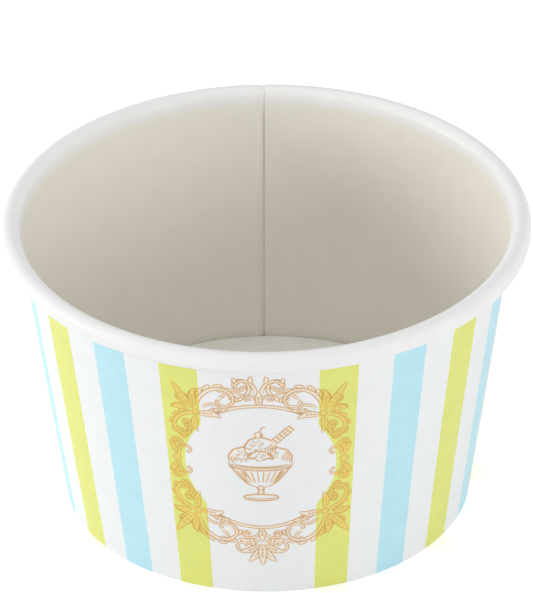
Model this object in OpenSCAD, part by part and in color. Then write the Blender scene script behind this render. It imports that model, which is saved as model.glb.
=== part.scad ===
// Paper dessert cup: a printed board sidewall with a rolled rim and a folded foot,
// and a stamped base disc held in the fold.
// Millimetres. +Z is the cup's axis, the foot stands on z = 0, the medallion faces -Y
// and the glued side seam faces +Y.

/* [Cup] */
// Diameter over the rolled rim
rim_d = 96; // [88:0.5:110]
// Height from the table to the top of the rolled rim
cup_h = 57; // [46:0.5:75]
// Outside diameter of the foot where it meets the table
foot_d = 74.4; // [66:0.2:78]

/* [Board] */
// Thickness of the sidewall's board
board_t = 0.4; // [0.3:0.02:0.5]
// Thickness of the base disc's board
base_t = 0.35; // [0.3:0.01:0.45]
// Film of coating between two sealed faces
seal_gap = 0.03; // [0.01:0.01:0.05]

/* [Rolled rim] */
// Width of the roll's section, across the rim
roll_w = 3.6; // [3.2:0.1:4.4]
// Height of the roll's section
roll_h = 3.9; // [3.7:0.1:5]
// Clearance between the tucked edge of the roll and the wall
roll_gap = 0.1; // [0.05:0.01:0.15]
// How far below the roll's outer side it starts to tighten, in degrees
tuck_from = 60; // [40:5:80]
// How far the tightened part of the roll turns, in degrees
tuck_turn = 170; // [130:5:180]

/* [Foot and base] */
// Height of the base disc's upper face above the table
floor_z = 7.5; // [6.8:0.1:12]
// Height of the hem folded up inside the foot
hem_h = 5.5; // [3:0.1:5.8]
// Inside radius at the two edges of the foot's fold
fold_r = 0.1; // [0.05:0.01:0.12]
// Outside radius where the base disc turns down into its flange
flange_bend_r = 0.9; // [0.6:0.05:1.2]
// Clearance from the flange's lower edge to the bottom of the fold
flange_clear = 0.15; // [0.12:0.01:1]

/* [Side seam] */
// Width of the overlap between the blank's two side edges
lap_w = 5; // [4:0.1:7]
// Length over which the outer layer comes down from the overlap
lap_ramp_w = 1.8; // [1.2:0.1:3]
// Height above the base disc where the seam's inner groove starts
groove_clear = 0.5; // [0.2:0.1:2]

/* [Print] */
// Number of equal stripes round the cup
stripe_n = 38; // [30:4:46]
// Diameter of the medallion's white field
field_d = 27.4; // [22:0.2:29]
// Height of the medallion's centre above the table
medallion_z = 29.8; // [26:0.1:34]
// Gap between the field's edge and the wreath round it
wreath_gap = 0.4; // [0.2:0.1:1]
// Length of the longest leaves of the wreath
leaf_l = 6.2; // [4:0.1:7]
// Width of those leaves
leaf_w = 1.7; // [1:0.1:2.2]
// Radius of the wreath's largest curls
curl_r = 2.8; // [2:0.1:3.4]
// Width of the wreath's bands and of its curls at their root
stem_w = 0.6; // [0.4:0.05:0.9]
// Width of the dessert glass in the middle of the field
glass_w = 11.4; // [8:0.1:14]

/* [Colours] */
// Bare coated board
board_colour = "#f4f6f7"; // any colour
// Green stripes
lime_colour = "#dee47d"; // any colour
// Blue stripes
blue_colour = "#bee8f3"; // any colour
// Ink of the medallion
tan_colour = "#eebb7d"; // any colour

/* [Hidden] */
$fn = 5 * stripe_n;
arc_step = 9;

rim_r = rim_d / 2;
foot_r = foot_d / 2;

// The roll: two half rounds joined by a short upright
roll_r = roll_w / 2;
roll_c = [rim_r - roll_r, cup_h - roll_r];
roll_drop = roll_h - roll_w;
roll_low_c = roll_c - [0, roll_drop];
roll_under_z = cup_h - roll_h;

// The wall leans out so that its inner face runs into the roll's upper round
roll_offset = roll_c - [foot_r, 0];
lean = atan2(roll_offset.x, roll_offset.y) - asin((roll_r - board_t) / norm(roll_offset));
// Unit vector square to the wall, pointing out and down
square_out = [cos(lean), -sin(lean)];

// The tightened part of the roll, which just clears the wall
tuck_share = 1 + cos(tuck_from - lean);
tuck_r = roll_r - (board_t + roll_gap - roll_drop * sin(lean)) / tuck_share;
tuck_c = roll_low_c + (roll_r - tuck_r) * [cos(tuck_from), -sin(tuck_from)];

// Depths of the foot's layers below the wall's outer face, measured square to it
flange_outer = board_t + seal_gap;
flange_inner = flange_outer + base_t;
hem_outer = flange_inner + seal_gap;
hem_inner = hem_outer + board_t;
fold_out_r = fold_r + board_t;

// Radius and height of a point at height z, the given depth below the wall's outer face
function face(depth, z) = [foot_r + z * tan(lean) - depth / cos(lean), z];

// Centres of the fold's two edges
fold_outer_c = face(fold_out_r, fold_out_r);
fold_inner_c = face(hem_inner - fold_out_r, fold_out_r);

// The seam's angles round the axis: overlap from seam_from to seam_to, then the ramp
mid_r = (foot_r + rim_r) / 2;
lap_a = lap_w / mid_r * 180 / PI;
ramp_a = lap_ramp_w / mid_r * 180 / PI;
back_a = 90;
seam_from = back_a - (lap_a + ramp_a) / 2;
seam_to = seam_from + lap_a;
ramp_rise = (foot_r + board_t) * cos(ramp_a) - foot_r;
ramp_slope = atan2(ramp_rise, (foot_r + board_t) * sin(ramp_a));

// The stripes, counted both ways from the front; the printed face is half the board deep
front_a = -90;
stripe_a = 360 / stripe_n;
print_depth = board_t / 2;
field_sides = 2;
// The ink lies a hair over the board, so that its colour is the one that shows
ink_proud = 0.00002;
leaf_steps = 6;
curl_steps = 14;
curl_turn = 290;
// Radius of the scoops as a share of the glass's width
scoop_r = 0.225;

// Colour of the even stripe k: blue and lime in turn
function stripe_colour(k) = k % 4 == 0 ? blue_colour : lime_colour;

// Points along a round with centre c and radius r, from angle a to angle b
function arc(c, r, a, b) =
    let (steps = ceil(abs(b - a) / arc_step))
    [for (i = [0 : steps]) let (t = a + (b - a) * i / steps) c + r * [cos(t), sin(t)]];

// One face of the roll, from the wall up, over and round to the tucked edge;
// in is 0 on the outside of the bent board and board_t on its inside
function roll_face(in) = concat(
    arc(roll_c, roll_r - in, 180 - lean, 0),
    arc(roll_low_c, roll_r - in, 0, -tuck_from),
    arc(tuck_c, tuck_r - in, -tuck_from, -tuck_from - tuck_turn)
);

// One face of the fold, from the wall down, under the flange and up to the hem;
// r is the radius of its two edges
function fold_face(r) = concat(
    arc(fold_outer_c, r, -lean, -90),
    arc(fold_inner_c, r, -90, -180 - lean)
);

// A point with its coordinates kept to 0.0001 mm, a step that the ink's hair is too small to change
function on_grid(point) = [for (v = point) round(v * 10000) / 10000];

function backwards(points) = [for (i = [len(points) - 1 : -1 : 0]) points[i]];

// Whole section of the sidewall: roll, wall, fold and hem are one strip of board
module sidewall_section() {
    edge = concat(
        roll_face(board_t), backwards(roll_face(0)),
        fold_face(fold_r), [face(hem_outer, hem_h), face(hem_inner, hem_h)],
        backwards(fold_face(fold_out_r))
    );
    polygon([for (point = edge) on_grid(point)]);
}

// The part of the section that carries the print, from the fold to the roll
module print_section() {
    low = on_grid(fold_outer_c + fold_out_r * square_out);
    high = on_grid(roll_c - (roll_r - board_t) * square_out);
    proud = [ink_proud, 0];
    sunk = print_depth * square_out;
    polygon([low + proud, high + proud, high - sunk, low - sunk]);
}

// Second layer of board outside the wall, ending flush with the table
module lap_section() {
    outer_r = fold_out_r + board_t;
    inner_r = fold_out_r - print_depth;
    polygon(concat(
        [face(print_depth, roll_low_c.y), face(-board_t, roll_low_c.y)],
        arc(fold_outer_c, outer_r, -lean, -asin(fold_out_r / outer_r)),
        [[fold_outer_c.x, 0]],
        arc(fold_outer_c, inner_r, -90, -lean)
    ));
}

// Everything on the axis side of the ramp's plane, moved inward by the given depth
module inside_ramp(depth) {
    rotate([0, 0, seam_to + ramp_a])
        translate([foot_r, 0, 0])
            rotate([0, lean, 0])
                rotate([0, 0, ramp_slope])
                    translate([-rim_d - depth, -rim_r, -rim_r])
                        cube([rim_d, rim_d, cup_h + rim_d]);
}

// Outer layer of the overlap, with the ramp that brings it down onto the wall
module seam_layer() {
    intersection() {
        rotate([0, 0, seam_from]) rotate_extrude(angle = lap_a + ramp_a) lap_section();
        inside_ramp(0);
    }
}

// Shallow groove inside the cup, from the inner layer's cut edge along the ramp
module seam_groove() {
    intersection() {
        rotate([0, 0, seam_to])
            rotate_extrude(angle = 2 * ramp_a)
                polygon([
                    face(0, floor_z + groove_clear), face(0, roll_under_z),
                    face(2 * board_t, roll_under_z), face(2 * board_t, floor_z + groove_clear)
                ]);
        inside_ramp(board_t);
    }
}

// The printed face within stripe k
module stripe(k) {
    rotate([0, 0, front_a + (k - 0.5) * stripe_a]) rotate_extrude(angle = stripe_a) print_section();
}

// A flat drawing carried through the front of the wall at the medallion's height
module onto_front() {
    translate([0, 0, medallion_z]) rotate([90, 0, 0]) linear_extrude(rim_r) children();
}

// Carries what is drawn to the edge of the field at that angle, and turns it to point outward
module at_field_edge(angle, out) {
    rotate(angle) translate([field_d / 2 + wreath_gap + out, 0]) children();
}

module mirrored() {
    children();
    mirror([1, 0]) children();
}

// A pointed leaf that grows from the origin along +X
module leaf(size) {
    edge = [for (i = [1 : leaf_steps - 1]) let (t = i / leaf_steps)
        size * [leaf_l * t, leaf_w / 2 * sin(180 * t)]];
    polygon(concat([[0, 0]], edge, [[size * leaf_l, 0]], [for (p = backwards(edge)) [p.x, -p.y]]));
}

// Leaves spread like a hand, the middle one along +X
module leaf_fan(sizes, spread) {
    middle = (len(sizes) - 1) / 2;
    for (i = [0 : len(sizes) - 1])
        rotate((i - middle) * spread) translate([leaf_w / 2, 0]) leaf(sizes[i]);
}

// A stem that starts on +X and curls up to half its radius, thinning out
module curl(size, turn) {
    path = [for (i = [0 : curl_steps]) let (t = i / curl_steps, left = 1 - t / 2)
        [size * curl_r * left, turn * t, stem_w / 2 * left]];
    polygon(concat(
        [for (p = path) (p.x + p.z) * [cos(p.y), sin(p.y)]],
        [for (p = backwards(path)) (p.x - p.z) * [cos(p.y), sin(p.y)]]
    ));
}

// A band along the field's edge
module field_band(from, to) {
    r = field_d / 2 + wreath_gap;
    polygon(concat(arc([0, 0], r, from, to), arc([0, 0], r + stem_w, to, from)));
}

// The wreath's right side, which lies over the lime stripe there
module wreath_side() {
    for (corner = [-45, 45]) at_field_edge(corner, 0) leaf_fan([0.6, 0.75, 1, 0.75, 0.6], 38);
    at_field_edge(0, 0) leaf_fan([0.4, 0.3, 0.4], 62);
    at_field_edge(62, 1.5 * curl_r) rotate(-120) curl(1, curl_turn);
    at_field_edge(28, 0.85 * curl_r) rotate(120) curl(0.7, -curl_turn);
    at_field_edge(-28, 0.85 * curl_r) rotate(-120) curl(0.7, curl_turn);
    at_field_edge(-62, 1.5 * curl_r) rotate(120) curl(1, -curl_turn);
}

// The crest above the field and the hanging leaves below it
module wreath_middle() {
    at_field_edge(90, 1.6) leaf_fan([0.5, 0.65, 0.5], 44);
    mirrored() at_field_edge(77, 1.55 * curl_r) rotate(150) curl(0.6, -curl_turn);
    at_field_edge(-90, 1.2) leaf_fan([0.6, 0.8, 1, 0.8, 0.6], 34);
    for (middle = [-90, 90]) field_band(middle - 27, middle + 27);
}

// A footed dessert glass, drawn as the outline of its right half and mirrored
module dessert_glass() {
    w = glass_w / 2;
    bowl = [for (i = [0 : leaf_steps]) let (t = i / leaf_steps)
        w * [0.12 + 0.84 * pow(1 - t, 0.55), -0.85 * t]];
    foot = w * [[0.08, -0.95], [0.08, -1.14], [0.5, -1.26], [0.5, -1.34]];
    right = concat(bowl, foot);
    polygon(concat([for (p = right) [-p.x, p.y]], backwards(right)));
    translate([-w, 0.06 * w]) square([2 * w, 0.07 * w]);
}

// The part of a round scoop that shows, between two angles and down to the corner given
module scoop(middle, from, to, corner) {
    rounds = arc(middle, scoop_r, from, to);
    polygon(concat(glass_w * rounds, [glass_w * corner]));
}

// Two scoops in the glass and one on top, in units of the glass's width
module scoops() {
    mirrored() scoop([0.26, 0.16], -26, 122, [-0.02, 0.09]);
    scoop([0, 0.4], -26, 206, [0, 0.1]);
}

// The stripes and the medallion: fields of colour on one and the same board
module print() {
    for (k = [field_sides + 1 : stripe_n - field_sides - 1])
        if (k % 2 == 0) color(stripe_colour(min(k, stripe_n - k))) stripe(k);
    for (side = [-1, 1])
        color(lime_colour) difference() {
            stripe(side * field_sides);
            onto_front() {
                circle(d = field_d);
                scale([side, 1]) wreath_side();
            }
        }
    color(tan_colour) intersection() {
        onto_front() {
            mirrored() wreath_side();
            wreath_middle();
            dessert_glass();
            scoops();
        }
        rotate([0, 0, front_a - (field_sides + 0.5) * stripe_a])
            rotate_extrude(angle = (2 * field_sides + 1) * stripe_a) print_section();
    }
}

module sidewall() {
    difference() {
        union() {
            color(board_colour) rotate_extrude() sidewall_section();
            print();
            color(board_colour) seam_layer();
        }
        color(board_colour) seam_groove();
    }
}

// Flat disc whose edge turns down into a flange that leans as the wall does
module base_disc() {
    corner = face(flange_outer + flange_bend_r, floor_z - flange_bend_r);
    flange_end_z = board_t + flange_clear;
    color(board_colour) rotate_extrude() polygon(concat(
        [[0, floor_z], [0, floor_z - base_t]],
        arc(corner, flange_bend_r - base_t, 90, -lean),
        [face(flange_inner, flange_end_z), face(flange_outer, flange_end_z)],
        arc(corner, flange_bend_r, -lean, 90)
    ));
}

sidewall();
base_disc();
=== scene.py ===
# %% [markdown]
# A paper dessert cup, built as the real one is: one printed board blank wrapped to a cone, its upper
# edge rolled out into the rim and its lower edge folded in as a hem, and one stamped base disc that the
# hem grips. The construction model is loaded first as a fixed frame, so every piece made here is drawn
# straight at its place in metres and nothing is fitted afterwards.

# %% Load the frame
import math
import bmesh
import bpy
import numpy as np
from mathutils import Matrix, Vector


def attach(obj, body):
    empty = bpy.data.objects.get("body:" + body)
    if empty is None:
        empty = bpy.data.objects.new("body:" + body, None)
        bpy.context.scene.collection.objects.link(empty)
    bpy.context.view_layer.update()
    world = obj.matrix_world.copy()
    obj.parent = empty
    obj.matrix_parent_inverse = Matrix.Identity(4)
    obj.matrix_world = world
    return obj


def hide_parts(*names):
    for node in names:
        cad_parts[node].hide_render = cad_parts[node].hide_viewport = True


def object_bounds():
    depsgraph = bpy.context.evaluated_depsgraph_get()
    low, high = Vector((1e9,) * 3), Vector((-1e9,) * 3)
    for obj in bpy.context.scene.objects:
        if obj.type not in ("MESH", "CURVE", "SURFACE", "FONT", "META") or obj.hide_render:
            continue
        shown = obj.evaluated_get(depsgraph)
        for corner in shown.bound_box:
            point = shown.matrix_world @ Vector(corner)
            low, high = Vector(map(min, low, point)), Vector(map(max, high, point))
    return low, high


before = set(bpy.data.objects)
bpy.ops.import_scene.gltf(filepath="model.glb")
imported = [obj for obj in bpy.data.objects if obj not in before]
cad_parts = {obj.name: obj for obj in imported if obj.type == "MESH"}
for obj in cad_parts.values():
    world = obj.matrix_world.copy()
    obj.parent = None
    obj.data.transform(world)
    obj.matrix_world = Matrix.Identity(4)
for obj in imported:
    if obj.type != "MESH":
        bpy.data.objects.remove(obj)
cad_box = [list(corner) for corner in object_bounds()]
cad_size = [high - low for low, high in zip(*cad_box)]
print("construction box in mm:", [round(side * 1000, 2) for side in cad_size])

# %% [markdown]
# The sizes that a cup maker would set: diameters, height and board thickness. The wall could be traced
# from the loaded mesh, but the mesh has coarse facets, so the section is worked out again from the same
# few driving sizes and then compared with the frame's own box.

# %% Driving sizes, in metres and radians
RIM_D = 0.096
CUP_H = 0.057
FOOT_D = 0.0744
BOARD_T = 0.0004
BASE_T = 0.00035
SEAL_GAP = 0.00003
ROLL_W = 0.0036
ROLL_H = 0.0039
ROLL_GAP = 0.0001
TUCK_FROM = math.radians(60)
TUCK_TURN = math.radians(170)
FLOOR_Z = 0.0075
HEM_H = 0.0055
FOLD_R = 0.0001
FLANGE_BEND_R = 0.0009
FLANGE_CLEAR = 0.00015
LAP_W = 0.005
LAP_RAMP_W = 0.0018
print("rim and height against the frame:", RIM_D - cad_size[0], CUP_H - cad_size[2])

# %% [markdown]
# The roll is two half rounds joined by a short upright. The wall leans out so that its inner face runs
# into the roll without a kink, and that sets the angle of the cone.

# %% Centres and angles of the section
rim_r = RIM_D / 2
foot_r = FOOT_D / 2
roll_r = ROLL_W / 2
roll_c = np.array([rim_r - roll_r, CUP_H - roll_r])
roll_drop = ROLL_H - ROLL_W
roll_low_c = roll_c - [0, roll_drop]
roll_under_z = CUP_H - ROLL_H
roll_offset = roll_c - [foot_r, 0]
lean = math.atan2(*roll_offset) - math.asin((roll_r - BOARD_T) / np.hypot(*roll_offset))
print("the wall leans out by", round(math.degrees(lean), 2), "degrees")


def turned(angle):
    return np.array([math.cos(angle), math.sin(angle)])


def face(depth, z):
    """Radius and height of a point at height z, that deep below the wall's outer face."""
    return np.array([foot_r + z * math.tan(lean) - depth / math.cos(lean), z])


# %% [markdown]
# A bent sheet of board has two faces that run side by side. Each face is a list of points from the
# tucked edge of the roll, over the rim, down the wall, round the fold and up the hem. Both lists have
# the same number of points, so that point i on one face lies straight across the board from point i on
# the other, and the sheet can be skinned like a ladder.

# %% Arcs and straight stretches of a section
ARC_STEP = math.radians(9)


def arc(centre, radius, start, end, step=ARC_STEP):
    count = math.ceil(abs(end - start) / step)
    angles = [start + (end - start) * i / count for i in range(count + 1)]
    return [centre + radius * turned(angle) for angle in angles]


def between(start, end, count):
    """Points strictly between two ends."""
    return [start + (end - start) * i / (count + 1) for i in range(1, count + 1)]


# %% [markdown]
# The board's free edge is curled in tighter than the roll, and its radius is solved so that the edge stops
# a set gap short of the wall. At the foot the hem goes up inside the wall, and between the two there is
# room for the base disc's flange and a film of coating on both of its faces.

# %% The two faces of the sidewall's section
WALL_ROWS = 60
HEM_ROWS = 6

tuck_share = 1 + math.cos(TUCK_FROM - lean)
tuck_r = roll_r - (BOARD_T + ROLL_GAP - roll_drop * math.sin(lean)) / tuck_share
tuck_c = roll_low_c + (roll_r - tuck_r) * turned(-TUCK_FROM)
hem_outer = BOARD_T + BASE_T + 2 * SEAL_GAP
hem_inner = hem_outer + BOARD_T
fold_out_r = FOLD_R + BOARD_T
fold_outer_c = face(fold_out_r, fold_out_r)
fold_inner_c = face(hem_inner - fold_out_r, fold_out_r)


def roll_face(inset):
    upper = arc(roll_c, roll_r - inset, math.pi - lean, 0)
    lower = arc(roll_low_c, roll_r - inset, 0, -TUCK_FROM)
    tucked = arc(tuck_c, tuck_r - inset, -TUCK_FROM, -TUCK_FROM - TUCK_TURN)
    return upper + lower + tucked[1:]


def fold_face(radius):
    outer = arc(fold_outer_c, radius, -lean, -math.pi / 2, ARC_STEP * 2)
    inner = arc(fold_inner_c, radius, -math.pi / 2, -math.pi - lean, ARC_STEP * 2)
    return outer + inner


def board_face(inset, fold_radius, hem_depth):
    roll = roll_face(inset)[::-1]
    fold = fold_face(fold_radius)
    wall = between(roll[-1], fold[0], WALL_ROWS)
    hem_edge = face(hem_depth, HEM_H)
    return np.array(roll + wall + fold + between(fold[-1], hem_edge, HEM_ROWS) + [hem_edge])


food_face = board_face(0, FOLD_R, hem_outer)
print_face = board_face(BOARD_T, fold_out_r, hem_inner)
roll_count = len(roll_face(0))
hem_start = len(food_face) - HEM_ROWS - 1
across = (print_face - food_face) / BOARD_T
print("points along the section:", len(food_face), "board", np.linalg.norm(across, axis=1).round(3)[:3])

# %% [markdown]
# The blank's side edges overlap at the back. The outer layer starts with a cut edge, lies over the inner
# layer, and comes down a short ramp onto the wall. In the roll and in the fold the machine crushes the
# two layers to one thickness. So each column of the skin is moved across the board by an amount that
# depends on its angle and on how free the board is there: 1 on the wall, 0 in the roll and the fold.

# %% Angles of the seam and how the layers lie
mid_r = (foot_r + rim_r) / 2
lap_a = LAP_W / mid_r
ramp_a = LAP_RAMP_W / mid_r
BACK_A = math.pi / 2
FULL_TURN = 2 * math.pi
FADE_UNDER_ROLL = 0.0015
FADE_ABOVE_FOLD = 0.0015
seam_from = BACK_A - (lap_a + ramp_a) / 2
seam_to = seam_from + lap_a
seam_end = seam_to + FULL_TURN


def eased(t):
    t = min(max(t, 0), 1)
    return t * t * (3 - 2 * t)


def lifted(angle):
    """1 where the outer layer lies over the inner one, easing to 0 down the ramp."""
    return 1 - eased((angle - seam_to) / ramp_a)


def tucked_under(angle):
    """1 where the blank's far end lies under its start."""
    return eased(1 + (angle - seam_from - FULL_TURN) / (ramp_a / 2))


def free(row):
    """1 where the board stands free on the wall, 0 where the roll and the fold crush it."""
    if row < roll_count or row >= hem_start:
        return 0
    height = print_face[row][1]
    below_roll = eased((roll_under_z - height) / FADE_UNDER_ROLL)
    return below_roll * eased(height / FADE_ABOVE_FOLD)


freedom = np.array([free(row) for row in range(len(food_face))])
print("seam from", round(math.degrees(seam_from), 2), "to", round(math.degrees(seam_to), 2), "degrees")

# %% [markdown]
# Formed board is never a perfect cone: the wall breathes by about a tenth of a millimetre between the
# seam and the front, and the rim isn't a perfect circle. A sum of a few slow waves is enough, because
# what the eye reads is the reflection sliding over it. The foot is held true by the base disc, so the
# waves fade out towards it. Each wave has a count round the cup, a size and a starting angle.

# %% Slow unevenness of the formed board
WAVES = [(2, 0.00006, 0.4), (3, 0.00004, 2.1), (5, 0.00002, 1.0)]
BELLY, BELLY_COUNT, BELLY_START = 0.00005, 4, 0.7
HELD_TRUE_H = 0.02


def uneven(angle, z):
    """How far the formed board stands out from a true cone."""
    round_about = sum(size * math.sin(count * angle + start) for count, size, start in WAVES)
    bowed = BELLY * math.sin(math.pi * z / CUP_H) * math.sin(BELLY_COUNT * angle + BELLY_START)
    return eased(z / HELD_TRUE_H) * (round_about + bowed)


print("unevenness halfway up the front:", round(1000 * uneven(-math.pi / 2, CUP_H / 2), 3), "mm")


# %% [markdown]
# The print: stripes of white, blue and lime, counted both ways from the front, and a white round field
# for the medallion that bites into the two lime stripes beside it. An image could carry this, but here
# each stripe is its own columns of faces, so its edges stay sharp at any distance. On the flat blank the
# field is a true circle, and wrapping the blank to a cone keeps every length along it. The five stripes
# of the medallion's panel are drawn full width, and the next ones a touch narrower, which evens out
# again towards the seam.

# %% The round field on the blank
FIELD_R = 0.0137
MEDALLION_Z = 0.0298
FRONT_A = -math.pi / 2
field_rho = face(0, MEDALLION_Z)[0] / math.sin(lean)


def field_half_angle(z):
    """Half of the angle round the cup that the field spans at height z."""
    rho = field_rho + (z - MEDALLION_Z) / math.cos(lean)
    cosine = (rho ** 2 + field_rho ** 2 - FIELD_R ** 2) / (2 * rho * field_rho)
    return math.acos(cosine) / math.sin(lean) if cosine < 1 else 0


print("the blank's apex is", round(field_rho * 1000, 1), "mm from the middle of the field")

# %% Stripes on the blank
STRIPE_N = 38
FIELD_STRIPE = 2
TIGHTENED = 0.0235
WHITE, BLUE, LIME = "white", "blue", "lime"
stripe_a = FULL_TURN / STRIPE_N
lime_a = (FIELD_STRIPE - 0.5) * stripe_a
panel_a = (FIELD_STRIPE + 0.5) * stripe_a


def drawn(angle):
    """Angle from the front at which a stripe's edge was drawn, for one that is due at the given angle."""
    beside = abs(angle) - panel_a
    if beside <= 0:
        return angle
    drawn_in = TIGHTENED * math.sin(math.pi * beside / (math.pi - panel_a))
    return math.copysign(abs(angle) - drawn_in, angle)


def stripe_colour(k):
    k = min(k, STRIPE_N - k)
    if k % 2 or k == 0:
        return WHITE
    return BLUE if k % 4 == 0 else LIME


row_heights = print_face[:, 1]
field_angle = np.array([field_half_angle(z) for z in row_heights])
field_edge = np.clip(field_angle, lime_a, panel_a)
print("one stripe is", round(stripe_a * mid_r * 1000, 2), "mm wide at mid height")

# %% [markdown]
# Columns are counted from the outer layer's cut edge all the way round to the inner layer's cut edge.
# Each run of columns has a first and a last angle, which may differ from row to row, and one colour.

# %% Runs of columns round the cup
COLUMNS_A_STRIPE = 6
LAP_COLUMNS = 5
RAMP_COLUMNS = 8
FIELD_COLUMNS = 3


def level(angle):
    """The same angle in every row."""
    return np.full(len(row_heights), angle)


def column_runs():
    """First angle, last angle, colour and number of columns of each stretch round the cup."""
    runs = [(level(seam_from), level(seam_to), WHITE, LAP_COLUMNS)]
    ramp_end = seam_to + ramp_a
    runs.append((level(seam_to), level(ramp_end), WHITE, RAMP_COLUMNS))
    middle = FRONT_A + FULL_TURN
    last = drawn((STRIPE_N / 2 - 0.5) * stripe_a)
    runs.append((level(ramp_end), level(middle - last), WHITE, 1))
    for i in range(STRIPE_N - 1):
        k = i - STRIPE_N // 2 + 1
        start = level(middle + drawn((k - 0.5) * stripe_a))
        end = level(middle + drawn((k + 0.5) * stripe_a))
        if k == -FIELD_STRIPE:
            runs.append((start, middle - field_edge, LIME, COLUMNS_A_STRIPE))
            runs.append((middle - field_edge, end, WHITE, FIELD_COLUMNS))
        elif k == FIELD_STRIPE:
            runs.append((start, middle + field_edge, WHITE, FIELD_COLUMNS))
            runs.append((middle + field_edge, end, LIME, COLUMNS_A_STRIPE))
        else:
            runs.append((start, end, stripe_colour(k % STRIPE_N), COLUMNS_A_STRIPE))
    runs.append((level(middle + last), level(seam_from + FULL_TURN), WHITE, 2))
    runs.append((level(seam_from + FULL_TURN), level(seam_end), WHITE, LAP_COLUMNS))
    return runs


# %% Columns of the skin
def columns_of(runs):
    """Angle of every column's edge in every row, and the colour of each column."""
    angles = [runs[0][0]]
    colours = []
    for start, end, colour, count in runs:
        for i in range(1, count + 1):
            angles.append(start + (end - start) * i / count)
            colours.append(colour)
    return np.array(angles).T, colours


column_angle, column_colour = columns_of(column_runs())
print("columns:", len(column_colour), "rows:", len(row_heights))

# %% [markdown]
# Finishes come next. Cup board is coated paper: nearly white, satin, with a faint cloudiness from its
# fibres and a very fine tooth that shows only in a grazing light. All of that is noise in the object's
# own metres. Noise gathers round its middle value, so only the span where it really lies is used.

# %% Noise helpers
NOISE_LOW, NOISE_HIGH = 0.3, 0.7


def noise(nodes, place, scale, detail=3):
    texture = nodes.new("ShaderNodeTexNoise")
    texture.inputs["Scale"].default_value = scale
    texture.inputs["Detail"].default_value = detail
    place.id_data.links.new(place.outputs["Object"], texture.inputs["Vector"])
    return texture


def spread(nodes, source, low, high):
    mapped = nodes.new("ShaderNodeMapRange")
    mapped.inputs["From Min"].default_value = NOISE_LOW
    mapped.inputs["From Max"].default_value = NOISE_HIGH
    mapped.inputs["To Min"].default_value = low
    mapped.inputs["To Max"].default_value = high
    source.id_data.links.new(source.outputs["Fac"], mapped.inputs["Value"])
    return mapped


def clouded(nodes, source, colour, share):
    """Mix of a colour a little darker and a little lighter, by a noise."""
    mix = nodes.new("ShaderNodeMix")
    mix.data_type = "RGBA"
    links = source.id_data.links
    links.new(source.outputs["Result"], mix.inputs["Factor"])
    mix.inputs["A"].default_value = [c * (1 - share) for c in colour] + [1]
    mix.inputs["B"].default_value = [min(c * (1 + share), 1) for c in colour] + [1]
    return mix


# %% [markdown]
# Each finish of the board is one Principled shader. One noise clouds its colour, a slower one varies how
# glossy it is, and a fine one gives the tooth as a bump. The gloss is set low, as on coated paper.

# %% A helper for coated board
CLOUD_SCALE = 260
SHEEN_SCALE = 90
SHEEN_SPREAD = 0.04
TOOTH_SCALE = 2400
BOARD_GLOSS = 0.25


def board_finish(name, colour, rough, cloud=0.012, tooth=0.000012):
    material = bpy.data.materials.new(name)
    material.use_nodes = True
    nodes = material.node_tree.nodes
    links = material.node_tree.links
    shader = nodes["Principled BSDF"]
    place = nodes.new("ShaderNodeTexCoord")
    clouds = clouded(nodes, spread(nodes, noise(nodes, place, CLOUD_SCALE), 0, 1), colour, cloud)
    links.new(clouds.outputs["Result"], shader.inputs["Base Color"])
    slow = noise(nodes, place, SHEEN_SCALE)
    sheen_patches = spread(nodes, slow, rough - SHEEN_SPREAD, rough + SHEEN_SPREAD)
    links.new(sheen_patches.outputs["Result"], shader.inputs["Roughness"])
    bump = nodes.new("ShaderNodeBump")
    bump.inputs["Distance"].default_value = tooth
    links.new(noise(nodes, place, TOOTH_SCALE, 4).outputs["Fac"], bump.inputs["Height"])
    links.new(bump.outputs["Normal"], shader.inputs["Normal"])
    shader.inputs["Specular IOR Level"].default_value = BOARD_GLOSS
    return material


# %% [markdown]
# The inside of the cup has painted warm bounce light and shade: below the roll its film is warmed and
# darkened by height, with a soft passage just below the roll, while the same film on the rim stays white.
# Two finishes would leave a hard line there, so one finish gets the painted bounce by height.

# %% A helper that paints warm bounce light and shade into a finish below a height
def painted_bounce_below(material, bounce_tint, low_z, high_z):
    """Leaves a finish as it is above high_z and multiplies it by a warm colour below low_z, as painted
    warm bounce light and shade.
    """
    nodes = material.node_tree.nodes
    links = material.node_tree.links
    shader = nodes["Principled BSDF"]
    plain = shader.inputs["Base Color"].links[0].from_socket
    place = nodes.new("ShaderNodeTexCoord")
    split = nodes.new("ShaderNodeSeparateXYZ")
    links.new(place.outputs["Object"], split.inputs["Vector"])
    depth = nodes.new("ShaderNodeMapRange")
    depth.interpolation_type = "SMOOTHSTEP"
    depth.inputs["From Min"].default_value = low_z
    depth.inputs["From Max"].default_value = high_z
    depth.inputs["To Min"].default_value = 1
    depth.inputs["To Max"].default_value = 0
    links.new(split.outputs["Z"], depth.inputs["Value"])
    painted_bounce_mix = nodes.new("ShaderNodeMix")
    painted_bounce_mix.data_type = "RGBA"
    painted_bounce_mix.blend_type = "MULTIPLY"
    links.new(depth.outputs["Result"], painted_bounce_mix.inputs["Factor"])
    links.new(plain, painted_bounce_mix.inputs["A"])
    painted_bounce_mix.inputs["B"].default_value = list(bounce_tint) + [1]
    links.new(painted_bounce_mix.outputs["Result"], shader.inputs["Base Color"])


# %% [markdown]
# The hem is pressed onto the base disc by a ribbed wheel, which leaves fine upright ribs inside the foot.
# Modelled ribs would cost thousands of faces that nobody counts, so they are a bump that follows the
# angle round the axis, added on top of the board's own tooth.

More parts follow.
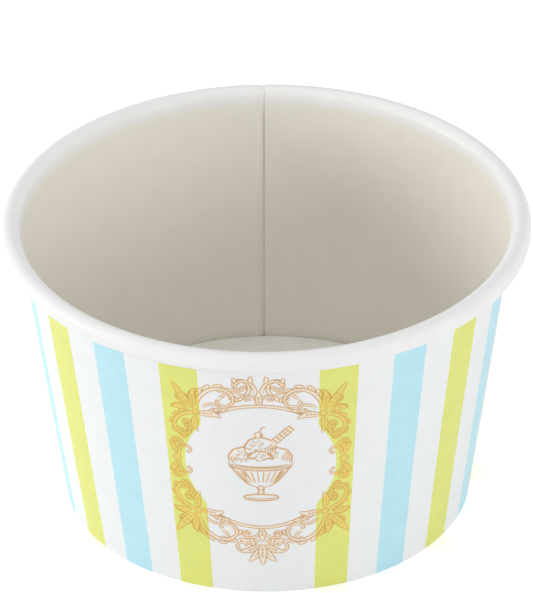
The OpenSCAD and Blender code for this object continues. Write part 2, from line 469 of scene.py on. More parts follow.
# %% A helper for the pressed ribs
def ribbed(material, count, depth):
    nodes = material.node_tree.nodes
    links = material.node_tree.links
    place = nodes.new("ShaderNodeTexCoord")
    split = nodes.new("ShaderNodeSeparateXYZ")
    links.new(place.outputs["Object"], split.inputs["Vector"])
    angle = nodes.new("ShaderNodeMath")
    angle.operation = "ARCTAN2"
    links.new(split.outputs["Y"], angle.inputs[0])
    links.new(split.outputs["X"], angle.inputs[1])
    turns = nodes.new("ShaderNodeMath")
    turns.operation = "MULTIPLY"
    turns.inputs[1].default_value = count
    links.new(angle.outputs[0], turns.inputs[0])
    wave = nodes.new("ShaderNodeMath")
    wave.operation = "SINE"
    links.new(turns.outputs[0], wave.inputs[0])
    ribs = nodes.new("ShaderNodeBump")
    ribs.inputs["Distance"].default_value = depth
    links.new(wave.outputs[0], ribs.inputs["Height"])
    tooth = next(node for node in nodes if node.type == "BUMP" and node.outputs["Normal"].links)
    links.new(ribs.outputs["Normal"], tooth.inputs["Normal"])


# %% [markdown]
# The outside is clay coated white that the stripes are printed on. The inside carries a thin film: on the
# rolled rim it is as white as the outside, and below the roll it gets painted warm bounce light and shade.
# The cut edges show the bare fibre.

# %% The finishes of the board
WHITE_INK = (0.85, 0.865, 0.875)
LIME_INK = (0.75, 0.78, 0.21)
BLUE_INK = (0.5, 0.79, 0.88)
FOOD_SIDE = (0.87, 0.87, 0.865)
BASE_BOARD = (0.87, 0.865, 0.84)
# Painted warm bounce light and shade inside the cup: the inside film is multiplied by this colour below
# one height, fading out towards the roll.
PAINTED_BOUNCE_TINT = (0.965, 0.93, 0.84)
PAINTED_BOUNCE_FULL_Z = CUP_H - 0.0038
PAINTED_BOUNCE_FADE_Z = CUP_H - 0.0016
RAW_FIBRE = (0.74, 0.7, 0.62)
HEM_RIBS = 120
RIB_DEPTH = 0.00008

finishes = {
    WHITE: board_finish("coated_white", WHITE_INK, 0.46),
    BLUE: board_finish("blue_stripe", BLUE_INK, 0.44, cloud=0.02),
    LIME: board_finish("lime_stripe", LIME_INK, 0.44, cloud=0.02),
    "rim": board_finish("film_coated_rim", FOOD_SIDE, 0.4),
    # The inside film's finish, which also carries the painted bounce light and shade added below.
    "food_side_painted_bounce": board_finish("inside_film_painted_bounce", FOOD_SIDE, 0.4),
    "base": board_finish("plain_base_board", BASE_BOARD, 0.42),
    "hem": board_finish("pressed_hem", WHITE_INK, 0.46),
    "raw": board_finish("cut_edge", RAW_FIBRE, 0.9, cloud=0.08, tooth=0.00005),
}
# Paints warm bounce light and shade into the inside film below the roll.
painted_bounce_below(finishes["food_side_painted_bounce"], PAINTED_BOUNCE_TINT, PAINTED_BOUNCE_FULL_Z, PAINTED_BOUNCE_FADE_Z)
ribbed(finishes["hem"], HEM_RIBS, RIB_DEPTH)
print("finishes:", sorted(finishes))

# %% [markdown]
# Skinning the sheet: every column is the section turned to an angle of its own and moved by the seam's
# lift. The two faces, the two long edges and the two cut ends are joined into one closed skin, and
# doubled points, where a run of columns shrinks to nothing beside the field, are welded.

# %% Points of the wrapped blank
def at(angle, radius, z):
    return Vector((radius * math.cos(angle), radius * math.sin(angle), z))


def wrapped(section, row, angle, is_print):
    """A point of the section, turned round the axis and moved as the seam and the unevenness ask."""
    spot = section[row]
    normal = across[row] / np.linalg.norm(across[row])
    lift = (BOARD_T + SEAL_GAP) * freedom[row] * lifted(angle)
    crush = BOARD_T / 2 * (1 - freedom[row])
    if is_print:
        lift -= crush * tucked_under(angle)
    else:
        lift += crush * lifted(angle)
    radius, z = spot + normal * lift
    return at(angle, radius + uneven(angle, z), z)


# %% [markdown]
# The wrapped blank itself. The stripes are face colours: ink covers the wall and the fold and ends a
# little way up the hem, where the printer let it bleed over the blank's trimmed edge.

# %% Finish of each face
BLEED = 0.0018


def print_finish(row, colour):
    """Ink on the wall, the fold and a narrow bleed, and plain white in the roll and on the hem."""
    if row < roll_count - 1:
        return WHITE
    return colour if row < hem_start or print_face[row][1] < BLEED else "hem"


def quad(build, corners, slot_number):
    """A face over those corners that differ, and none where fewer than three do."""
    corners = list(dict.fromkeys(corners))
    if len(corners) < 3:
        return
    made = build.faces.new(corners)
    made.material_index = slot_number
    made.smooth = True


# %% Skin the wrapped blank
def wrap_blank():
    names = [WHITE, BLUE, LIME, "rim", "food_side_painted_bounce", "hem", "raw"]
    build = bmesh.new()
    rows = len(row_heights)
    columns = len(column_colour) + 1
    grid = {}
    for is_print, section in ((True, print_face), (False, food_face)):
        for row in range(rows):
            for column in range(columns):
                angle = column_angle[row][column]
                grid[is_print, row, column] = build.verts.new(wrapped(section, row, angle, is_print))
    for row in range(rows - 1):
        for column in range(columns - 1):
            box = [(row, column), (row, column + 1), (row + 1, column + 1), (row + 1, column)]
            outside = print_finish(row, column_colour[column])
            quad(build, [grid[(True,) + spot] for spot in box], names.index(outside))
            film = "rim" if row < roll_count - 1 else "food_side_painted_bounce"
            quad(build, [grid[(False,) + spot] for spot in box[::-1]], names.index(film))
    raw = names.index("raw")
    for row in (0, rows - 1):
        for column in range(columns - 1):
            edge = [grid[True, row, column], grid[True, row, column + 1],
                    grid[False, row, column + 1], grid[False, row, column]]
            quad(build, edge if row else edge[::-1], raw)
    for column in (0, columns - 1):
        for row in range(rows - 1):
            edge = [grid[True, row, column], grid[True, row + 1, column],
                    grid[False, row + 1, column], grid[False, row, column]]
            quad(build, edge[::-1] if column else edge, raw)
    return build, names


# %% [markdown]
# The blank sits a hair askew on the forming cone, so the stripes lean by a fraction of a degree. Turning
# each point about the cup's axis by an angle that grows with its height does the same to the print and
# the seam, and leaves the cup's shape alone, because that shape is round. The angle is in radians a metre.

# %% Lay the blank askew
ASKEW = -0.18


def laid_askew(build):
    """Turns each point about the cup's axis by an angle that grows with its height."""
    for vert in build.verts:
        turn = ASKEW * (vert.co.z - MEDALLION_Z)
        vert.co.rotate(Matrix.Rotation(turn, 3, "Z"))


# %% [markdown]
# Both board pieces end the same way: doubled points are welded, the faces are turned outward, and cut
# edges are marked sharp, so that they stay crisp while the bends shade smoothly. Then the piece gets its
# finishes, and the frame is told which body it rides on.

# %% Finish the sidewall
WELD = 1e-7
CUT_EDGE_A = math.radians(40)


def sharp_edges(build):
    for edge in build.edges:
        if len(edge.link_faces) == 2 and edge.calc_face_angle(0) > CUT_EDGE_A:
            edge.smooth = False


def placed(build, name, finish_names):
    mesh = bpy.data.meshes.new(name)
    build.to_mesh(mesh)
    build.free()
    piece = bpy.data.objects.new(name, mesh)
    bpy.context.scene.collection.objects.link(piece)
    for finish_name in finish_names:
        mesh.materials.append(finishes[finish_name])
    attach(piece, "root")
    print(name, "faces:", len(mesh.polygons))
    return piece


def finished(build, name, finish_names):
    bmesh.ops.remove_doubles(build, verts=build.verts[:], dist=WELD)
    bmesh.ops.recalc_face_normals(build, faces=build.faces[:])
    laid_askew(build)
    sharp_edges(build)
    return placed(build, name, finish_names)


sidewall_build, sidewall_finishes = wrap_blank()
sidewall = finished(sidewall_build, "wrapped_sidewall", sidewall_finishes)
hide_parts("sidewall")

# %% [markdown]
# The base disc is stamped from plain board. Its edge is turned down into a flange that the hem grips,
# and forming leaves the disc a little dished. It is made as the same kind of ladder, swept once round.

# %% Build the base disc
DISH = 0.00025
DISC_ROWS = 24
DISC_COLUMNS = 190
FLANGE_ROWS = 4
FLAT_SHARE = 0.93
flange_outer = BOARD_T + SEAL_GAP


def dished(point):
    """Sinks the flat of the disc, most of all in the middle."""
    share = max(0, 1 - (point[0] / (foot_r * FLAT_SHARE)) ** 2)
    return point - [0, DISH * share ** 2]


def disc_face(inset, flange_depth):
    corner = face(flange_outer + FLANGE_BEND_R, FLOOR_Z - FLANGE_BEND_R)
    bend = arc(corner, FLANGE_BEND_R - inset, math.pi / 2, -lean)
    centre = np.array([0, FLOOR_Z - inset])
    flat = [centre] + between(centre, bend[0], DISC_ROWS)
    foot = face(flange_depth, BOARD_T + FLANGE_CLEAR)
    return np.array([dished(p) for p in flat] + bend + between(bend[-1], foot, FLANGE_ROWS) + [foot])


def sweep_disc():
    upper = disc_face(0, flange_outer)
    lower = disc_face(BASE_T, flange_outer + BASE_T)
    loop = list(upper) + list(lower[::-1])
    build = bmesh.new()
    rings = []
    for radius, z in loop:
        turn = [FULL_TURN * i / DISC_COLUMNS for i in range(DISC_COLUMNS)]
        rings.append([build.verts.new(at(angle, radius, z)) for angle in turn])
    for ring, following in zip(rings, rings[1:]):
        for i in range(DISC_COLUMNS):
            j = (i + 1) % DISC_COLUMNS
            quad(build, [ring[i], ring[j], following[j], following[i]], 0)
    return build


base_disc = finished(sweep_disc(), "stamped_base_disc", ["base"])
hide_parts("base_disc")

# %% [markdown]
# The medallion is one-colour tan ink: a scrolled wreath round the white field and a dessert glass in its
# middle. It could be an image, but an image goes soft close up, so it is drawn as thin ribbons of ink one
# or two hundredths of a millimetre proud of the board. All of it is designed flat, in millimetres, on the
# unrolled blank, with a small set of strokes, and carried onto the cone at the end.

# %% Paths on the flat blank
STEP = 0.22


def winding_path(start, heading, length, turn, tighten=1.6, easy=0.25):
    """Curve that turns by so many degrees in all, gently at first and tighter towards its end."""
    count = max(4, math.ceil(length / STEP))
    mean = math.radians(turn) / length
    last = easy * mean + (1 - easy) * mean * (tighten + 1)
    points = [np.array(start, float)]
    angle = math.radians(heading)
    for i in range(count):
        share = ((i + 0.5) / count) ** tighten
        angle += (easy * mean + (last - easy * mean) * share) * length / count
        points.append(points[-1] + length / count * turned(angle))
    return np.array(points)


def ring_path(centre, radius, start, end, ripple=0, ripples=0):
    count = max(6, math.ceil(abs(math.radians(end - start)) * radius / STEP))
    turn = np.radians(np.linspace(start, end, count + 1))
    size = radius * (1 + ripple * np.sin(ripples * turn))
    return np.array(centre) + np.stack([np.cos(turn) * size, np.sin(turn) * size], 1)


def oval_path(centre, wide, high, start, end):
    turn = np.radians(np.linspace(start, end, 40))
    return np.array(centre) + np.stack([np.cos(turn) * wide, np.sin(turn) * high], 1)


def straight_path(start, end, count=8):
    return np.array(start) + (np.array(end) - start) * np.linspace(0, 1, count)[:, None]


# %% [markdown]
# A stroke is a ribbon: the path moved half a width to each side. Each one is kept with its kind, because
# pale fills lie under pen lines and get another ink.

# %% Ribbons of ink
FILL, LINE = "fill", "line"
strokes = []
covers = []


def ribbon(kind, path, widths):
    """Keeps a path as a ribbon of one width, or of a width at each point, and returns its two sides."""
    along = np.gradient(path, axis=0)
    along /= np.linalg.norm(along, axis=1)[:, None]
    square = np.stack([-along[:, 1], along[:, 0]], axis=1)
    half = np.broadcast_to(np.asarray(widths, float) / 2, (len(path),))[:, None]
    left, right = path + square * half, path - square * half
    strokes.append((kind, left, right))
    return left, right


# %% [markdown]
# A pen line thins out towards its ends. A stem or a leaf is a pale fill with a pen line along both sides,
# and it covers what was drawn before it, as on an engraving: its outline is kept as a cover for that.

# %% Pen lines, outlined stems and buds
LINE_W = 0.22
TAPER_SHARE = 0.15


def pen(path, width=LINE_W, ends=0.35):
    t = np.linspace(0, 1, len(path))
    taper = np.clip(np.minimum(t, 1 - t) / TAPER_SHARE, 0, 1) * (1 - ends) + ends
    ribbon(LINE, path, width * taper)


def covering(outline):
    """Hides what was drawn before, inside the outline."""
    covers.append((len(strokes), outline))


def outlined(path, widths, width=LINE_W):
    first = len(strokes)
    left, right = ribbon(FILL, path, widths)
    covers.append((first, np.concatenate([left, right[::-1]])))
    pen(left, width)
    pen(right, width)


def bud(centre, radius):
    ring = ring_path((0, 0), radius, 0, 360)
    covering(ring + centre)
    ribbon(FILL, ring / 2 + centre, radius)
    pen(ring + centre, LINE_W, 1)


# %% [markdown]
# Three motifs make the whole wreath: the volute, a stem that rolls up round a bud; the leaf, widest below
# its middle, with a rib and, where it is large enough, side veins; and the frond, a volute with leaflets.

# %% Volutes and leaves
VEINED_W = 1.15


def volute(start, heading, length, turn, wide=0.8, narrow=0.38, tighten=1.6, eye=0.34):
    """A stem that rolls up into a spiral with a bud in its eye."""
    path = winding_path(start, heading, length, turn, tighten)
    bud(path[-1], eye)
    outlined(path, wide + (narrow - wide) * np.linspace(0, 1, len(path)))


def leaf(base, heading, length, width, turn, rib=True):
    path = winding_path(base, heading, length, turn, 1, 0.5)
    t = np.linspace(0, 1, len(path))
    outlined(path, 0.1 + width * np.sin(math.pi * t ** 0.75) ** 0.85)
    if rib:
        pen(path[:int(len(path) * 0.7)], LINE_W * 0.65)
    if width > VEINED_W:
        veins(path, width)


def veins(path, width):
    """Short side veins, slanting towards the leaf's tip."""
    for share in (0.22, 0.38, 0.54):
        spot = int(share * (len(path) - 1))
        along = path[spot + 1] - path[spot]
        along /= np.linalg.norm(along)
        for side in (-1, 1):
            square = side * np.array([-along[1], along[0]])
            pen(straight_path(path[spot], path[spot] + 0.34 * width * (square + along), 4), LINE_W * 0.55)


# %% Fronds
LEAFLETS_FROM = 0.06
LEAFLETS_SPAN = 0.62
LEAFLET_SPLAY = 42
LEAFLET_CURL = 62
LEAFLET_WIDTH_SHARE = 0.36
LEAFLETS_SHRINK = 0.45


def frond(start, heading, length, turn, lobes, side, size):
    """A volute with leaflets along its outer side, like half an acanthus leaf."""
    path = winding_path(start, heading, length, turn)
    for i in range(lobes):
        spot = int((LEAFLETS_FROM + LEAFLETS_SPAN * i / (lobes - 1)) * (len(path) - 1))
        step = path[spot + 1] - path[spot]
        outward = math.degrees(math.atan2(step[1], step[0])) + side * LEAFLET_SPLAY
        grown = size * (1 - LEAFLETS_SHRINK * i / lobes)
        leaf(path[spot], outward, grown, grown * LEAFLET_WIDTH_SHARE, -side * LEAFLET_CURL)
    volute(start, heading, length, turn)


# %% [markdown]
# The wreath is the same left and right, and its corners and sides are the same above and below, so a
# motif is drawn once and its strokes are turned over.

# %% Mirror a motif
def mirrored(draw, over=False):
    """Draws a motif, mirrors it left to right, and turns both over where asked."""
    first, first_cover = len(strokes), len(covers)
    draw()
    for flip in [(-1, 1)] + [(1, -1)] * over:
        shift = len(strokes) - first
        new_strokes = [(kind, left * flip, right * flip) for kind, left, right in strokes[first:]]
        new_covers = [(index + shift, outline * flip) for index, outline in covers[first_cover:]]
        strokes.extend(new_strokes)
        covers.extend(new_covers)


# %% [markdown]
# The wreath's motifs: a spray of leaves and two fronds at each corner, a row of small curls down each
# side with a bracket in its middle, a crest of volutes on top and a hanging husk below. Places are
# millimetres from the middle of the field.

# %% Corner of the wreath
WREATH_R = 14.35
SMALL_CURL = dict(wide=0.5, narrow=0.3, eye=0.24)


def corner():
    leaf((9.6, 11.6), 148, 4.4, 1.1, 26)
    leaf((11.6, 9.6), -58, 4.0, 1.0, -26)
    volute((10.2, 13.0), 128, 6.4, 330, **SMALL_CURL)
    frond((11.6, 12.4), 98, 15.6, 330, 6, -1, 2.8)
    frond((11.9, 11.5), -14, 11.6, -330, 5, 1, 2.3)
    leaf((12.6, 14.2), 96, 3.4, 1.0, 50)
    leaf((13.6, 12.6), 4, 2.8, 0.9, -50)
    volute((12.6, 13.4), 82, 5.2, -290, **SMALL_CURL)
    volute((13.2, 12.9), 20, 5.0, 290, **SMALL_CURL)
    leaf((11.7, 13.0), 74, 4.2, 1.2, 34)
    leaf((13.0, 12.1), 14, 3.1, 1.1, -40)
    leaf((12.1, 12.5), 50, 6.6, 1.3, 12)
    leaf((10.9, 11.3), 156, 4.4, 1.2, 64)
    leaf((11.3, 10.9), -66, 4.0, 1.1, -64)
    bud((11.5, 11.7), 0.6)


# %% Sides of the wreath
def side_curls():
    for angle in (13, 22.5, 32):
        at_edge = WREATH_R * turned(math.radians(angle))
        volute(at_edge, angle + 66, 4.3, -320, **SMALL_CURL)
        leaf(at_edge, angle - 40, 1.5, 0.55, 50, False)


def side_bracket():
    leaf((14.6, 2.0), 48, 2.0, 0.85, 50)
    volute((14.9, 0.9), 88, 5.0, 250, 0.6, 0.34, eye=0.28)
    leaf((15.3, 1.0), 74, 3.0, 0.9, -24)


# %% Crest and husk
def crest():
    volute((7.2, 15.6), 150, 5.6, -330, **SMALL_CURL)
    volute((5.4, 15.2), 172, 12.2, -400, 0.75, 0.36)
    volute((2.6, 16.2), 60, 5.2, -300, **SMALL_CURL)
    leaf((3.4, 19.4), 24, 1.9, 0.8, 60, False)
    volute((0.5, 17.4), 84, 8.6, -345, 0.7, 0.34, 1.3)
    leaf((1.2, 19.6), 62, 1.8, 0.7, 60, False)
    volute((0.4, 15.6), 70, 4.2, -300, **SMALL_CURL)


def husk():
    leaf((0.6, -17.6), -18, 3.8, 1.1, 60)
    volute((7.2, -15.6), 210, 5.6, 330, **SMALL_CURL)
    volute((5.4, -15.2), 188, 12.2, 400, 0.75, 0.36)
    volute((0.6, -16.0), -50, 5.2, 300, **SMALL_CURL)
    leaf((0.4, -18.6), -42, 4.2, 1.2, 40)
    leaf((0.2, -19.2), -66, 4.3, 1.15, 22)


# %% [markdown]
# What is drawn later covers what is drawn before, so the bands come first, then the small curls, and the
# corners and the single leaves and buds on the middle lines come last.

# %% Draw the wreath
for start, end in ((57, 123), (237, 303)):
    outlined(ring_path((0, 0), WREATH_R, start, end), 0.6)
mirrored(side_curls, over=True)
mirrored(side_bracket, over=True)
mirrored(crest)
mirrored(husk)
mirrored(corner, over=True)
leaf((0, 14.5), 90, 3.4, 1.2, 0)
leaf((0, -14.5), -90, 3.4, 1.2, 0)
leaf((0, -18.4), -90, 5.2, 1.4, 0)
bud((15.2, 0), 0.75)
bud((-15.2, 0), 0.75)
print("strokes in the wreath:", len(strokes))

# %% [markdown]
# The glass in the middle is drawn as an engraver would: firm outlines, flutes and parallel hatching where
# the form turns from the light, a pale wash beside them, and little hooks laid out on a spiral for the
# crumbly skin of the scoops.

# %% The dessert glass
FIRM_W = 0.34
HATCH_W = 0.2
BOWL_TOP = 0.3
BOWL_DEPTH = 5
NECK_HALF_W = 0.75
BOWL_SPREAD = 4.95
SIDE_POINTS = 24
FLUTE_FROM, FLUTE_TO = 7, 20
WASH_END = 0.2


def bowl_side(out):
    """Side of the bowl from its rim to its stem, as far out as asked: 1 is the outline."""
    t = np.linspace(0, 1, SIDE_POINTS)
    half_width = NECK_HALF_W + BOWL_SPREAD * (1 - t) ** 0.55
    return np.stack([out * half_width, BOWL_TOP - BOWL_DEPTH * t ** 1.25], 1)


def wash(path, width, kind=FILL):
    """A stroke of shade that is widest in its middle."""
    ribbon(kind, path, width * np.sin(np.linspace(WASH_END, math.pi - WASH_END, len(path))))


def glass():
    pen(oval_path((0, BOWL_TOP), 5.7, 1.1, 180, 360), FIRM_W)
    pen(oval_path((0, 0.9), 5.9, 1.2, 178, 362), HATCH_W)
    for side in (-1, 1):
        pen(bowl_side(side), FIRM_W)
        t = np.linspace(0, 1, 12)
        pen(np.stack([side * (0.45 + 0.5 * (2 * t - 1) ** 4), -4.7 - 2 * t], 1), FIRM_W)
        for out in (0.12, 0.36, 0.58, 0.76, 0.88):
            pen(bowl_side(side * out)[FLUTE_FROM:FLUTE_TO], HATCH_W)
    for out in (-0.82, -0.47, 0.24, 0.67):
        wash(bowl_side(out)[FLUTE_FROM:FLUTE_TO + 1], 0.75)
    wash(bowl_side(0.82)[FLUTE_FROM:FLUTE_TO - 3], 0.5, LINE)
    wash(bowl_side(-0.67)[FLUTE_FROM:FLUTE_TO - 5], 0.4, LINE)
    pen(oval_path((0, -7.2), 3.1, 0.75, 0, 360), FIRM_W, 1)
    pen(oval_path((0, -7), 2.6, 0.5, 200, 340), HATCH_W)
    wash(oval_path((0, -7.35), 2.5, 0.35, 210, 350), 0.34)
    bud((0, -4.9), 0.5)


# %% [markdown]
# Two scoops stand side by side, a third on top of them and a fourth in front. Each is a slightly wavy
# round, and the hatching and the wash lie where it turns from the light. The hooks are turned by the
# golden angle from one to the next, which spreads them evenly without any rows.

# %% The scoops
RIPPLE = 0.025
GOLDEN_A = 2.4


def hooks(centre, count, spacing):
    """Little hooks on a spiral."""
    for i in range(count):
        spot = np.array(centre) + spacing * math.sqrt(i + 1) * turned(GOLDEN_A * i)
        pen(ring_path(spot, 0.2, 97 * i, 97 * i + 200), HATCH_W * 0.75, 1)


def scoops():
    left, right, top, front = (-3, 1.9), (3, 1.9), (0, 4.3), (0, 1.6)
    pen(ring_path(top, 2.75, -22, 202, RIPPLE, 9), FIRM_W)
    pen(ring_path(left, 2.65, 62, 206, RIPPLE, 9), FIRM_W)
    pen(ring_path(right, 2.65, -26, 118, RIPPLE, 9), FIRM_W)
    pen(ring_path(front, 2.2, 20, 160, RIPPLE, 7), FIRM_W * 0.8)
    for i in range(4):
        pen(ring_path(top, 2.25 - 0.42 * i, -22, 34 - 4 * i), HATCH_W)
        pen(ring_path(right, 2.2 - 0.42 * i, -20, 52 - 5 * i), HATCH_W)
        pen(ring_path(left, 2.15 - 0.42 * i, 168, 214 - 4 * i), HATCH_W)
    wash(ring_path(top, 2.5, -16, 60), 0.42)
    wash(ring_path(right, 2.4, -20, 70), 0.42)
    wash(ring_path(left, 2.4, 120, 205), 0.38)
    wash(ring_path(front, 1.85, 28, 100), 0.4)
    for side in (-1, 1):
        wash(straight_path((side * 2.35, 2.2), (side * 1.5, 3.5)), 0.62, LINE)
        wash(ring_path((side * 1.5, 0.75), 1.35, 40, 140), 0.36, LINE)
    wash(oval_path((0, 0.95), 5.2, 0.95, 200, 340), 0.34, LINE)
    hooks((-0.5, 4.9), 17, 0.36)
    hooks((-3.2, 2.5), 17, 0.34)
    hooks((2.3, 2.9), 9, 0.34)
    hooks((-0.1, 2.3), 9, 0.36)


# %% [markdown]
# A cherry on top and a wafer stuck in at a slant finish the picture. The wafer covers the scoop's outline
# behind it, as a stem of the wreath would.

# %% The topping
def topping():
    bud((-0.2, 7.55), 0.72)
    wash(ring_path((-0.2, 7.55), 0.45, -80, 60), 0.34, LINE)
    pen(winding_path((-0.1, 8.1), 75, 2, -70))
    wafer = straight_path((2.2, 5.6), (5.9, 9.3), 18)
    outlined(wafer, 1.25, 0.24)
    pen(wafer, 0.14)
    for i in range(6):
        spot = np.array([2.75, 6.15]) + 0.58 * i
        pen(straight_path(spot + [-0.42, 0.42], spot + [0.42, -0.42], 4), HATCH_W, 1)


glass()
scoops()
topping()
print("strokes in all:", len(strokes), "covers:", len(covers))

# %% [markdown]
# Ribbons become small four-sided cells. A cell whose middle lies inside a later cover is dropped, and
# that is how a stem hides what is behind it. The test counts how often a ray from the point crosses the
# outline: an odd count is inside.

# %% Cells of ink that stay visible
def inside(points, outline):
    """Which of the points lie inside a closed outline."""
    a = outline
    b = np.roll(outline, -1, axis=0)
    px, py = points[:, :1], points[:, 1:]
    spans = (a[:, 1] > py) != (b[:, 1] > py)
    rise = np.where(b[:, 1] == a[:, 1], 1, b[:, 1] - a[:, 1])
    crossing = a[:, 0] + (py - a[:, 1]) * (b[:, 0] - a[:, 0]) / rise
    return (np.sum(spans & (px < crossing), axis=1) % 2) == 1


def cells():
    """Corners, kind and place in the order of drawing of every cell."""
    corners, kinds, order = [], [], []
    for index, (kind, left, right) in enumerate(strokes):
        for i in range(len(left) - 1):
            corners.append([left[i], left[i + 1], right[i + 1], right[i]])
            kinds.append(kind)
            order.append(index)
    return np.array(corners), np.array(kinds), np.array(order)


cell_corners, cell_kinds, cell_order = cells()
cell_middles = cell_corners.mean(axis=1)
shown = np.ones(len(cell_order), bool)
for index, outline in covers:
    shown &= ~((cell_order < index) & inside(cell_middles, outline))
print("cells of ink:", len(shown), "shown:", int(shown.sum()))

# %% [markdown]
# Carrying the drawing onto the cup: the flat blank is part of a ring about the cone's apex, so a flat
# point keeps its distance from the apex and its angle there becomes a larger angle round the cup. Fills
# get a middle line, so that a cell as wide as a leaf still follows the curved wall. The ribbons are then
# cut where the lime stripes begin, so ink over lime can have its own, mixed colour.

# %% Carry the ink onto the cup
MM = 0.001
FILL_LIFT = 0.000014
LINE_LIFT = 0.000022
INK_WELD = 1e-8


def on_cup(flat, lift):
    """A point of the flat drawing, carried onto the wall and lifted off it."""
    x, y = flat * MM
    rho = math.hypot(x, field_rho + y)
    angle = FRONT_A + math.atan2(x, field_rho + y) / math.sin(lean)
    z = MEDALLION_Z + (rho - field_rho) * math.cos(lean)
    out = rho * math.sin(lean) + uneven(angle, z) + lift * math.cos(lean)
    return at(angle, out, z - lift * math.sin(lean))


def ink_cells():
    build = bmesh.new()
    for corners, kind in zip(cell_corners[shown], cell_kinds[shown]):
        lift = FILL_LIFT if kind == FILL else LINE_LIFT
        a, b, c, d = corners
        halves = [(a, b, (b + c) / 2, (a + d) / 2), ((a + d) / 2, (b + c) / 2, c, d)]
        for part in halves if kind == FILL else [(a, b, c, d)]:
            made = build.faces.new([build.verts.new(on_cup(flat, lift)) for flat in part])
            made.material_index = int(kind == LINE)
            made.smooth = True
    bmesh.ops.remove_doubles(build, verts=build.verts[:], dist=INK_WELD)
    return build


# %% Cut the ink at the lime stripes
def over_lime(spot):
    """True where the board under this point of ink is lime."""
    angle = abs(math.atan2(spot.y, spot.x) - FRONT_A)
    return angle > lime_a and angle > field_half_angle(spot.z)


def cut_at_stripes(build):
    """Cuts the ink where the lime stripes begin, and gives the part over lime its own finishes."""
    for side in (-1, 1):
        edge = FRONT_A + side * lime_a
        across_edge = Vector((-math.sin(edge), math.cos(edge), 0))
        everything = build.verts[:] + build.edges[:] + build.faces[:]
        bmesh.ops.bisect_plane(build, geom=everything, plane_co=(0, 0, 0), plane_no=across_edge)
    for made in build.faces:
        if over_lime(made.calc_center_median()):
            made.material_index += 2


# %% [markdown]
# Ink over white board is a clean tan, with a cream fill between its lines. Over lime both sink towards
# mustard, because the stripe shows through the ink.

# %% Ink finishes
FILL_ON_WHITE = (0.89, 0.82, 0.71)
LINE_ON_WHITE = (0.7, 0.43, 0.21)
FILL_ON_LIME = (0.82, 0.68, 0.18)
LINE_ON_LIME = (0.74, 0.47, 0.1)

finishes["fill on white"] = board_finish("cream_fill", FILL_ON_WHITE, 0.46, cloud=0.03)
finishes["line on white"] = board_finish("tan_ink", LINE_ON_WHITE, 0.44, cloud=0.06)
finishes["fill on lime"] = board_finish("straw_fill", FILL_ON_LIME, 0.46, cloud=0.03)
finishes["line on lime"] = board_finish("mustard_ink", LINE_ON_LIME, 0.44, cloud=0.06)
print("finishes with the inks:", len(finishes))

# %% Build the medallion
ink_names = ["fill on white", "line on white", "fill on lime", "line on lime"]
medallion_build = ink_cells()
cut_at_stripes(medallion_build)
laid_askew(medallion_build)
placed(medallion_build, "printed_medallion", ink_names)

# %% [markdown]
# The floor is a plain sheet under the cup. It has to read as white paper without lighting the cup more
# than it should, so it shines a little, but only for rays that come straight from the camera or by way
# of a gloss. Rays that gather light for the board see plain paper, and the cup's shadow stays.

# %% Floor
FLOOR_HALF_SIDE = 1.5
FLOOR_SHINE = 0.42


def background_rays(nodes, links):
    """1 for a ray from the camera, off a gloss or through glass, and 0 for the rest."""
    ray = nodes.new("ShaderNodeLightPath")
    seen = ray.outputs["Is Camera Ray"]
    for kind in ("Is Glossy Ray", "Is Transmission Ray"):
        either = nodes.new("ShaderNodeMath")
        either.operation = "MAXIMUM"
        links.new(seen, either.inputs[0])
        links.new(ray.outputs[kind], either.inputs[1])
        seen = either.outputs[0]
    return seen


def floor_sheet():
    mesh = bpy.data.meshes.new("floor_sheet")
    s = FLOOR_HALF_SIDE
    mesh.from_pydata([(-s, -s, 0), (s, -s, 0), (s, s, 0), (-s, s, 0)], [], [(0, 1, 2, 3)])
    sheet = bpy.data.objects.new("floor_sheet", mesh)
    bpy.context.scene.collection.objects.link(sheet)
    material = bpy.data.materials.new("white_paper_floor")
    material.use_nodes = True
    nodes = material.node_tree.nodes
    links = material.node_tree.links
    shader = nodes["Principled BSDF"]
    shader.inputs["Base Color"].default_value = (0.9, 0.9, 0.9, 1)
    shader.inputs["Roughness"].default_value = 0.9
    shader.inputs["Emission Color"].default_value = (1, 1, 1, 1)
    gain = nodes.new("ShaderNodeMath")
    gain.operation = "MULTIPLY"
    gain.inputs[1].default_value = FLOOR_SHINE
    links.new(background_rays(nodes, links), gain.inputs[0])
    links.new(gain.outputs[0], shader.inputs["Emission Strength"])
    mesh.materials.append(material)
    return sheet


floor_sheet()

# %% [markdown]
# A product shot of a white cup wants broad, soft light, somewhat stronger from the left. Two large lamps
# stand low and well to the sides, so that the white wall is a little darker in its middle than towards
# its edges and the top of the rim doesn't burn out. A pale world does most of the rest, and a lamp far
# above only lifts the rim.

# %% Light
LAMP_AIM = Vector((0, 0, 0.03))


def soft_lamp(name, place, size, power):
    light = bpy.data.lights.new(name, "AREA")
    light.shape = "DISK"
    light.size = size
    light.energy = power
    lamp = bpy.data.objects.new(name, light)
    bpy.context.scene.collection.objects.link(lamp)
    lamp.location = place
    toward = Vector(place) - LAMP_AIM
    lamp.rotation_euler = toward.to_track_quat("Z", "Y").to_euler()


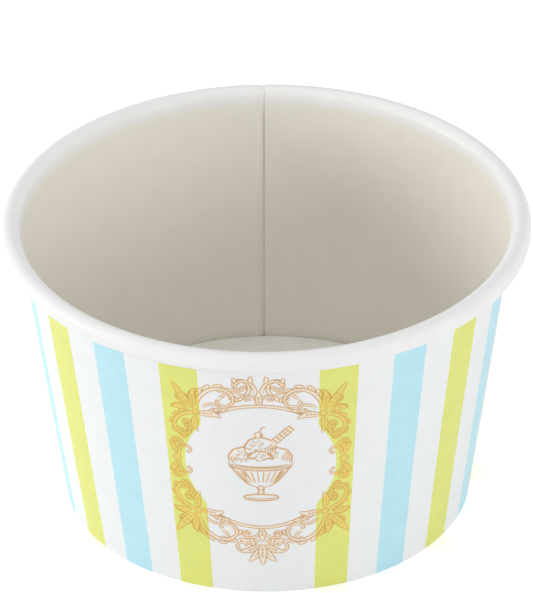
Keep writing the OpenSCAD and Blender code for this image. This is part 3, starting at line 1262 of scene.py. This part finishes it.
def pale_world(strength):
    world = bpy.data.worlds.new("studio")
    bpy.context.scene.world = world
    world.use_nodes = True
    nodes = world.node_tree.nodes
    links = world.node_tree.links
    shine = nodes.new("ShaderNodeMapRange")
    shine.inputs["To Min"].default_value = strength
    shine.inputs["To Max"].default_value = 1
    links.new(background_rays(nodes, links), shine.inputs["Value"])
    background = nodes["Background"]
    background.inputs["Color"].default_value = (1, 1, 1, 1)
    links.new(shine.outputs["Result"], background.inputs["Strength"])


pale_world(0.595)
soft_lamp("left_lamp", (-1.44, -0.16, 0.36), size=0.7, power=9.8)
soft_lamp("right_lamp", (0.99, -1.03, 0.36), size=0.7, power=6.1)
soft_lamp("top_lamp", (0, 0.2, 1.4), size=1.0, power=2.5)

# %% [markdown]
# The camera stands well back with a long lens, as a packshot camera does, so the cup's lines stay calm.
# Its place and lens come from fitting the rim, the foot and the stripes of the picture.

# %% Camera
CAMERA_AZIMUTH = math.radians(1.9)
CAMERA_ELEVATION = math.radians(32.62)
CAMERA_DISTANCE = 1.3
CAMERA_ROLL = math.radians(-0.56)
AIM_HEIGHT = 0.03
AIM_UP = 0.0082
SENSOR = 36
FOCAL_PIXELS = 7110
PICTURE_HEIGHT = 593


def set_camera():
    data = bpy.data.cameras.new("camera")
    data.sensor_width = SENSOR
    data.lens = FOCAL_PIXELS * SENSOR / PICTURE_HEIGHT
    camera = bpy.data.objects.new("camera", data)
    bpy.context.scene.collection.objects.link(camera)
    turn, rise = CAMERA_AZIMUTH, CAMERA_ELEVATION
    back = Vector((math.sin(turn) * math.cos(rise), -math.cos(turn) * math.cos(rise), math.sin(rise)))
    right = Vector((math.cos(turn), math.sin(turn), 0))
    aim = Vector((0, 0, AIM_HEIGHT))
    place = aim + back * CAMERA_DISTANCE
    back = (place - aim - back.cross(right) * AIM_UP).normalized()
    up = back.cross(right)
    axes = Matrix((right, up, back)).transposed().to_4x4()
    camera.matrix_world = Matrix.Translation(place) @ axes @ Matrix.Rotation(CAMERA_ROLL, 4, "Z")
    bpy.context.scene.camera = camera
    print("camera at", [round(c, 3) for c in place], "lens", round(data.lens, 1))


set_camera()
bpy.context.scene.view_settings.view_transform = "Standard"
